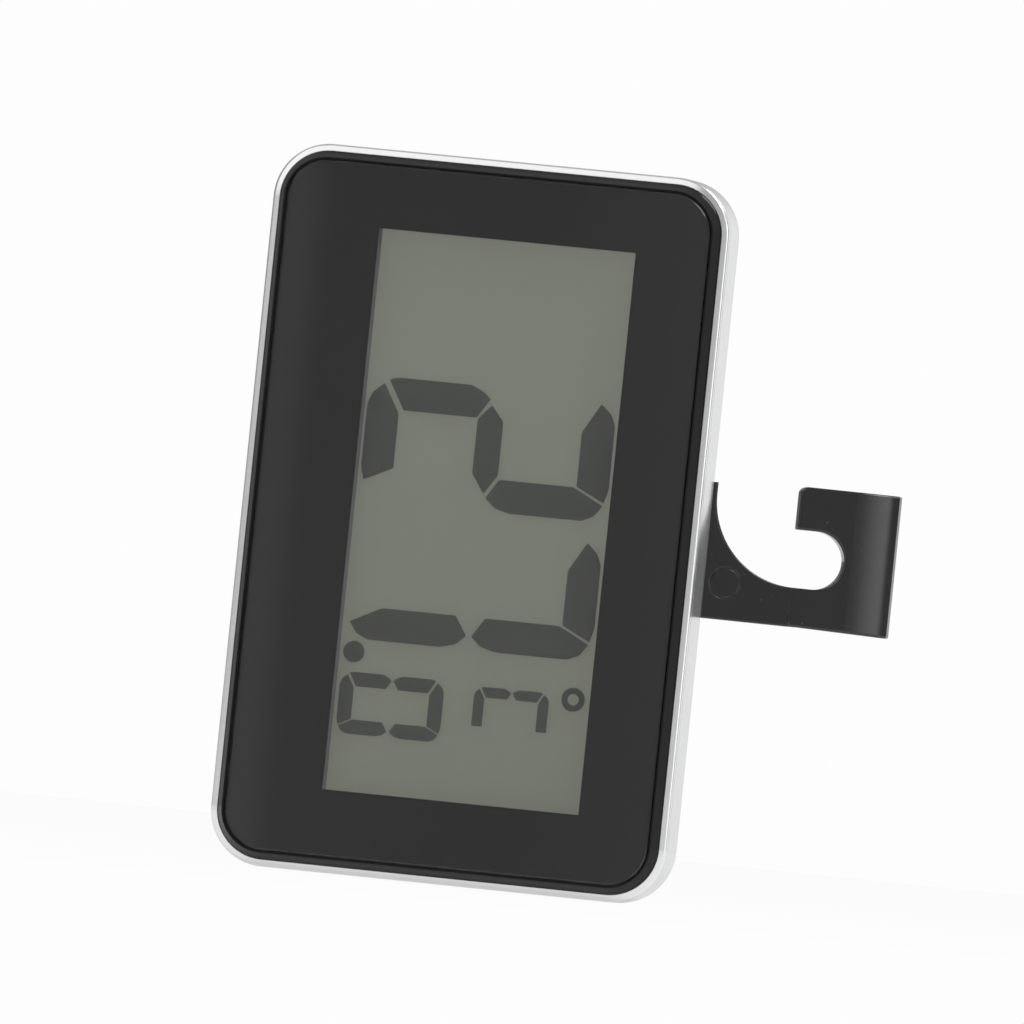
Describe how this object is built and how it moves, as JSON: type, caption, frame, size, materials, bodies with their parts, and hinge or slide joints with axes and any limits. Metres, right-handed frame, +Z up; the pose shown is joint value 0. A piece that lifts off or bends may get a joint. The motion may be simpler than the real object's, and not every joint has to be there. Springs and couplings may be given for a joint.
{
  "type": "maximum minimum thermometer",
  "caption": "Slim digital maximum-minimum thermometer with a display window, battery door, push buttons and a swing-out hook that also props it up.",
  "frame": {"origin": "centre of the front lens's outer face", "axes": "+Z up along the casing's long side, -Y out of the display, +X to the right seen from the front, towards the hook's hinge"},
  "size_m": [0.0775, 0.0187, 0.0874],
  "materials": {
    "silver_shell": "smooth silver-grey moulded plastic",
    "bright_ring": "bright silver plating",
    "black_frame": "polished black",
    "clear_lens": "polished clear acrylic",
    "mask_print": "black print behind the lens",
    "tape": "black adhesive tape",
    "lcd_film": "polarizing film",
    "lcd_glass": "display glass",
    "lcd_reflector": "grey-green reflective film",
    "lcd_segment": "dark display segment",
    "seal_glue": "epoxy seal",
    "black_moulding": "plain black moulding",
    "conductive_rubber": "layered conductive rubber",
    "board": "green solder mask",
    "resin": "black resin",
    "steel": "plated steel",
    "spring_brass": "nickel-plated spring brass",
    "ceramic": "ceramic component",
    "bead": "epoxy-coated bead",
    "gasket": "moulded nylon",
    "arm_black": "semi-gloss black moulding",
    "button_black": "soft black moulding"
  },
  "bodies": {
    "casing": {"back_shell": "silver_shell", "bezel_ring": "bright_ring", "front_frame": "black_frame", "front_lens": "clear_lens", "window_mask": "mask_print", "lens_tape": "tape", "lcd_polarizer": "lcd_film", "lcd_front_glass": "lcd_glass", "lcd_seal": "seal_glue", "lcd_segments": "lcd_segment", "lcd_rear_glass": "lcd_glass", "lcd_reflector": "lcd_reflector", "lcd_holder": "black_moulding", "contact_strip": "conductive_rubber", "circuit_board": "board", "board_screws": "steel", "controller_chip": "resin", "quartz_crystal": "steel", "thermistor": "bead", "capacitors": "ceramic", "resistors": "resin", "tact_switches": "black_moulding", "coin_cell_can": "steel", "coin_cell_gasket": "gasket", "coin_cell_cap": "steel", "negative_contact": "spring_brass", "positive_contact": "spring_brass", "case_screws": "steel", "hinge_pin": "steel"},
    "battery_door": {"battery_door": "silver_shell"},
    "hook_arm": {"hook_arm": "arm_black"},
    "max_min_button": {"max_min_button": "button_black"},
    "unit_button": {"unit_button": "button_black"}
  },
  "joints": [
    {"name": "hook_swing", "type": "hinge", "parent": "casing", "child": "hook_arm", "pos_m": [0.022, 0.0088, 0], "axis": [0, 0, 1], "range_deg": [0, 163]},
    {"name": "battery_door_turn", "type": "hinge", "parent": "casing", "child": "battery_door", "pos_m": [0, 0.0095, -0.0255], "axis": [0, 1, 0], "range_deg": [0, 60]},
    {"name": "max_min_press", "type": "slide", "parent": "casing", "child": "max_min_button", "axis": [0, -1, 0], "range_m": [0, 0.0005], "stiffness_N_per_m": 300},
    {"name": "unit_press", "type": "slide", "parent": "casing", "child": "unit_button", "axis": [0, -1, 0], "range_m": [0, 0.0005], "stiffness_N_per_m": 300}
  ]
}
